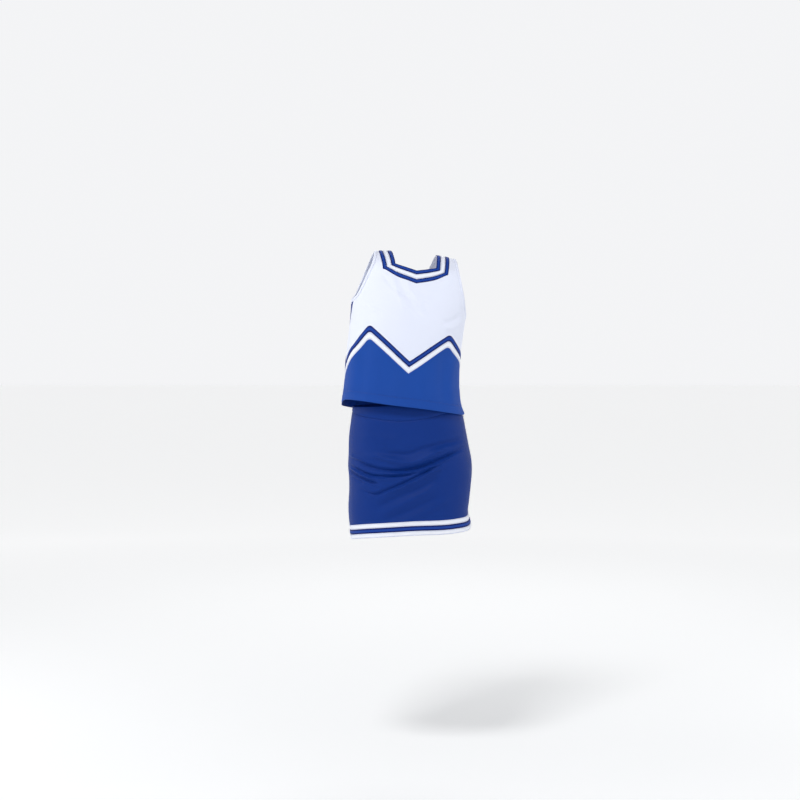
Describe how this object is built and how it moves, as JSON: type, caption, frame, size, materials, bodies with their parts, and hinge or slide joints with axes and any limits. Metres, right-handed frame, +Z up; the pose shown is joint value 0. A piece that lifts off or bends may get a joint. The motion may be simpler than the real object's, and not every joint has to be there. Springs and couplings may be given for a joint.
{
  "type": "cheer uniform",
  "caption": "Cheer uniform of a sleeveless shell top with chevron stripes and a square neck over a fitted skirt with a striped hem, hollow and in its worn shape.",
  "frame": {"origin": "on the wearer's centre line, 4 mm above the top edge of the skirt's waistband", "axes": "+Z up the wearer, -Y the way the front faces, +X to the wearer's left"},
  "size_m": [0.2956, 0.2328, 0.6539],
  "materials": {
    "white_knit": "matte double knit",
    "royal_knit": "matte double knit",
    "navy_braid": "ribbed braid",
    "skirt_knit": "matte double knit",
    "nylon_coil": "satin nylon",
    "nickel": "polished nickel plate"
  },
  "bodies": {
    "skirt": {"hem_stripe_lower_white": "white_knit", "hem_stripe_middle_blue": "navy_braid", "hem_stripe_upper_white": "white_knit", "skirt_back_panel": "skirt_knit", "skirt_front_panel": "skirt_knit", "skirt_hem_facing": "skirt_knit", "skirt_waistband": "skirt_knit", "skirt_waistband_facing": "skirt_knit", "skirt_zip_bottom_stop": "nickel", "skirt_zip_tape_back": "navy_braid", "skirt_zip_tape_front": "navy_braid", "skirt_zip_teeth_back": "nylon_coil", "skirt_zip_teeth_front": "nylon_coil", "skirt_zip_top_stop_back": "nickel", "skirt_zip_top_stop_front": "nickel", "waist_bar": "nickel", "waist_hook": "nickel", "waist_label": "white_knit"},
    "shell": {"armhole_binding_left": "white_knit", "armhole_binding_right": "white_knit", "back_body_panel_left": "royal_knit", "back_body_panel_right": "royal_knit", "back_chevron_blue_left": "navy_braid", "back_chevron_blue_right": "navy_braid", "back_chevron_white_left": "white_knit", "back_chevron_white_right": "white_knit", "back_yoke_left": "white_knit", "back_yoke_right": "white_knit", "front_body_panel": "royal_knit", "front_chevron_blue": "navy_braid", "front_chevron_white": "white_knit", "front_yoke": "white_knit", "neck_braid_inner": "navy_braid", "neck_braid_middle": "white_knit", "neck_braid_outer": "navy_braid", "neck_eye": "nickel", "neck_facing": "white_knit", "neck_hook": "nickel", "neck_label": "white_knit", "shell_hem_facing": "royal_knit", "shell_zip_bottom_stop": "nickel", "shell_zip_tape_left": "navy_braid", "shell_zip_tape_right": "navy_braid", "shell_zip_teeth_left": "nylon_coil", "shell_zip_teeth_right": "nylon_coil", "shell_zip_top_stop_left": "nickel", "shell_zip_top_stop_right": "nickel", "underarm_gusset_left": "navy_braid", "underarm_gusset_right": "navy_braid"},
    "shell_zip_slider": {"shell_zip_slider": "nickel"},
    "shell_zip_pull": {"shell_zip_pull": "nickel"},
    "skirt_zip_slider": {"skirt_zip_slider": "nickel"},
    "skirt_zip_pull": {"skirt_zip_pull": "nickel"}
  },
  "joints": [
    {"name": "shell_lift", "type": "slide", "parent": "skirt", "child": "shell", "axis": [0, 0, 1], "range_m": [0, 0.15]},
    {"name": "shell_zip_travel", "type": "slide", "parent": "shell", "child": "shell_zip_slider", "axis": [0.1041, -0.0774, 0.9915], "range_m": [-0.265, 0]},
    {"name": "shell_zip_pull_hinge", "type": "hinge", "parent": "shell_zip_slider", "child": "shell_zip_pull", "pos_m": [0.00197, 0.08345, 0.27555], "axis": [0.9899, 0.104, -0.0958], "range_deg": [0, 150]},
    {"name": "skirt_zip_travel", "type": "slide", "parent": "skirt", "child": "skirt_zip_slider", "axis": [-0.2037, -0.0142, 0.9789], "range_m": [-0.08, 0]},
    {"name": "skirt_zip_pull_hinge", "type": "hinge", "parent": "skirt_zip_slider", "child": "skirt_zip_pull", "pos_m": [0.1253, 0.00896, -0.03199], "axis": [0.0698, -0.9976, 0], "range_deg": [0, 100]}
  ]
}
